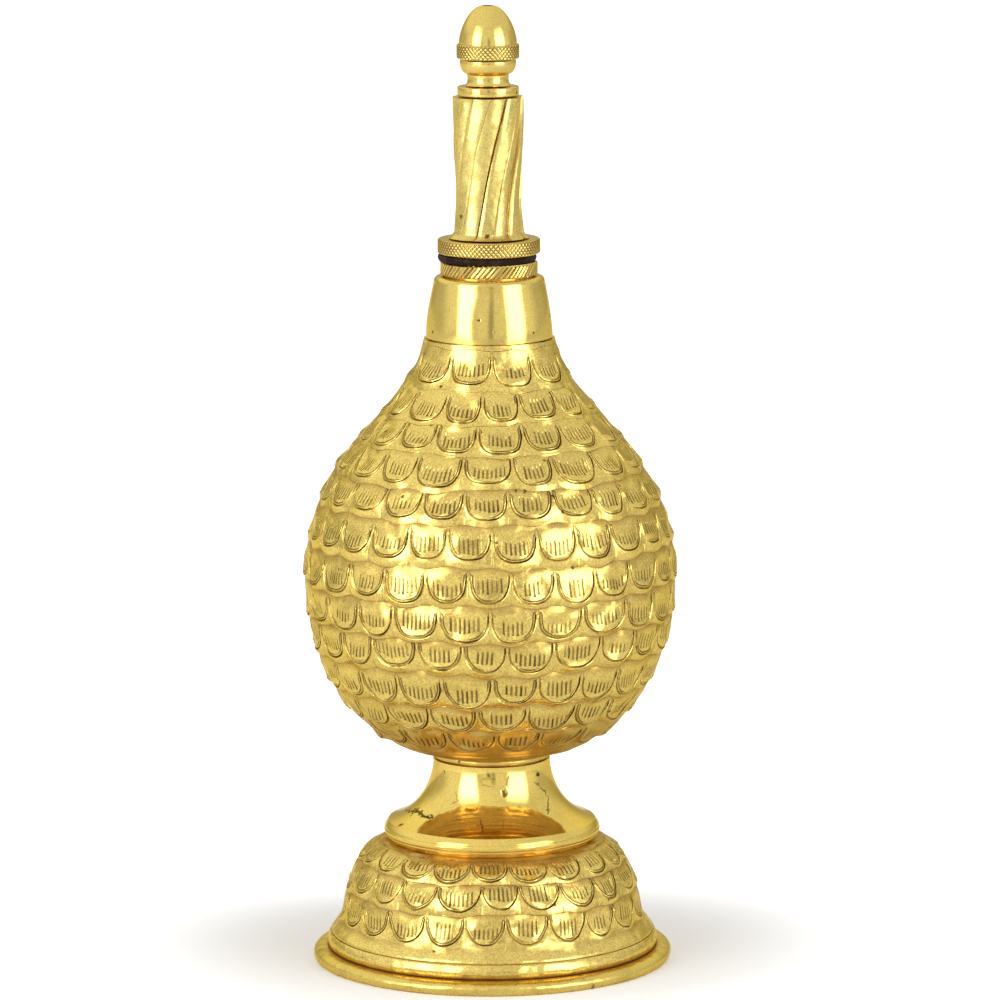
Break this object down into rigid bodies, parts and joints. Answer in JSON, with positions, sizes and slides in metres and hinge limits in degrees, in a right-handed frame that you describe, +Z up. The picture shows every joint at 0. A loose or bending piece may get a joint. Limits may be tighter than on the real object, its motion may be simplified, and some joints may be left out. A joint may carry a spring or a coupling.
{
  "type": "aspergillum",
  "caption": "Brass holy-water sprinkler: chased pear-shaped vessel on a spun foot, with a screwed spiral spout and an acorn cap with a hole in its tip.",
  "frame": {"origin": "middle of the flat underside of the base ring", "axes": "+Z up along the axis of the vessel and the spout, towards the cap's tip"},
  "size_m": [0.097, 0.0974, 0.25],
  "materials": {
    "polished_brass": "polished",
    "chased_brass": "polished, chased with punches",
    "knurled_brass": "knurled",
    "cast_brass": "cast and polished, with small pits",
    "zinc_steel": "zinc plated",
    "black_rubber": "matt"
  },
  "bodies": {
    "bottle": {"foot_rim": "polished_brass", "foot_dome": "chased_brass", "foot_cone": "polished_brass", "junction_ring": "polished_brass", "foot_stud": "polished_brass", "foot_washer": "zinc_steel", "foot_nut": "zinc_steel", "bulb": "chased_brass", "neck_shell": "polished_brass", "neck_ring": "knurled_brass"},
    "washer": {"gasket": "black_rubber"},
    "spout": {"spout_flange": "knurled_brass", "spout_stem": "cast_brass", "spout_collar": "polished_brass", "spout_head": "polished_brass"},
    "seal": {"cap_seal": "black_rubber"},
    "cap": {"sprinkler_cap": "knurled_brass"}
  },
  "joints": [
    {"name": "spout_lift", "type": "slide", "parent": "bottle", "child": "washer", "axis": [0, 0, 1], "range_m": [0, 0.0105]},
    {"name": "spout_turn", "type": "hinge", "parent": "washer", "child": "spout", "pos_m": [0, 0, 0.19], "axis": [0, 0, 1], "range_deg": [0, 2520]},
    {"name": "cap_lift", "type": "slide", "parent": "spout", "child": "seal", "axis": [0, 0, 1], "range_m": [0, 0.0055]},
    {"name": "cap_turn", "type": "hinge", "parent": "seal", "child": "cap", "pos_m": [0, 0, 0.24], "axis": [0, 0, 1], "range_deg": [0, 1980]}
  ],
  "couplings": [
    {"joint": "spout_lift", "follows": "spout_turn", "m_per_rad": 0.00023873},
    {"joint": "cap_lift", "follows": "cap_turn", "m_per_rad": 0.00015915}
  ]
}
